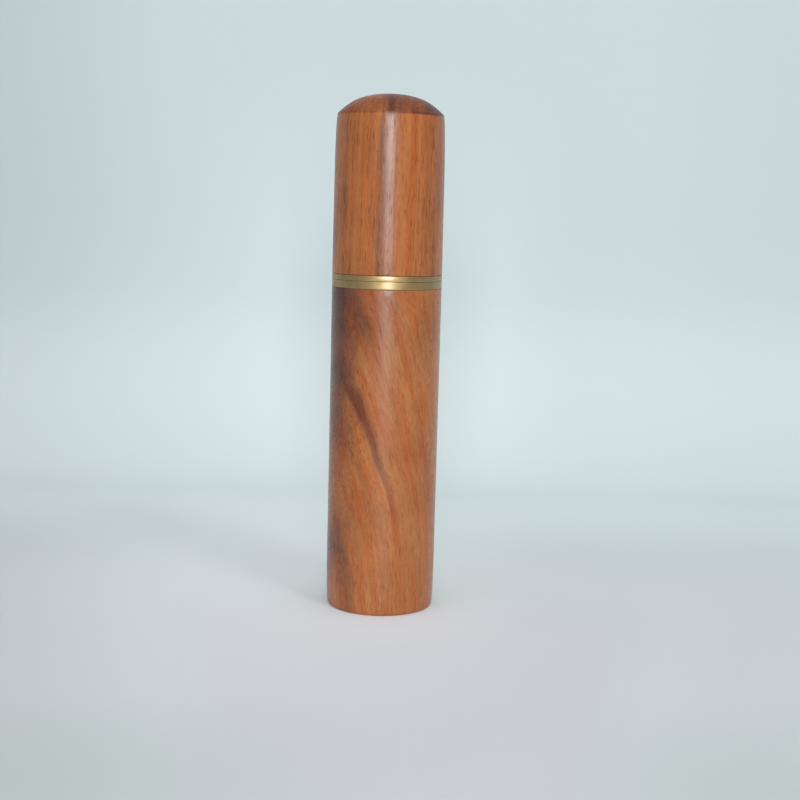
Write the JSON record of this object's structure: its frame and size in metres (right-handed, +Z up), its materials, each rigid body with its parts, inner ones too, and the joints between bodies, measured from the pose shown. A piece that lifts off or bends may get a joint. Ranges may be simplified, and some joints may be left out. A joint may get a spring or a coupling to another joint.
{
  "type": "needle case",
  "caption": "Turned wooden cylinder with a domed screw cap and a brass band, holding sewing needles in a lined chamber.",
  "frame": {"origin": "centre of the flat base", "axes": "+Z up along the case's axis of turning, towards the domed end; +X and +Y are across it, with the dark diagonal figure of the barrel towards -Y"},
  "size_m": [0.02, 0.02, 0.0935],
  "materials": {
    "barrel_wood": "satin lacquer over figured reddish-orange hardwood with dark heartwood streaks",
    "cap_wood": "satin lacquer over straight-grained reddish-brown hardwood",
    "turned_brass": "lathe-turned, softly polished, lightly tarnished",
    "drawn_brass": "drawn tube, satin",
    "rubber": "matt",
    "felt": "pressed wool felt"
  },
  "bodies": {
    "barrel": {"barrel_shell": "barrel_wood", "barrel_lining_tube": "drawn_brass", "needle_pad": "felt", "male_coupler": "turned_brass"},
    "neck_ring": {"seal_ring": "rubber"},
    "cap": {"cap_shell": "cap_wood", "female_coupler": "turned_brass", "cap_lining_tube": "drawn_brass", "cap_pad": "felt"}
  },
  "joints": [
    {"name": "cap_turn", "type": "hinge", "parent": "barrel", "child": "neck_ring", "pos_m": [0, 0, 0.06108], "axis": [0, 0, 1], "range_deg": [0, 2160]},
    {"name": "cap_rise", "type": "slide", "parent": "neck_ring", "child": "cap", "axis": [0, 0, 1], "range_m": [0, 0.018]}
  ],
  "couplings": [
    {"joint": "cap_turn", "follows": "cap_rise", "rad_per_m": 2094.4}
  ]
}
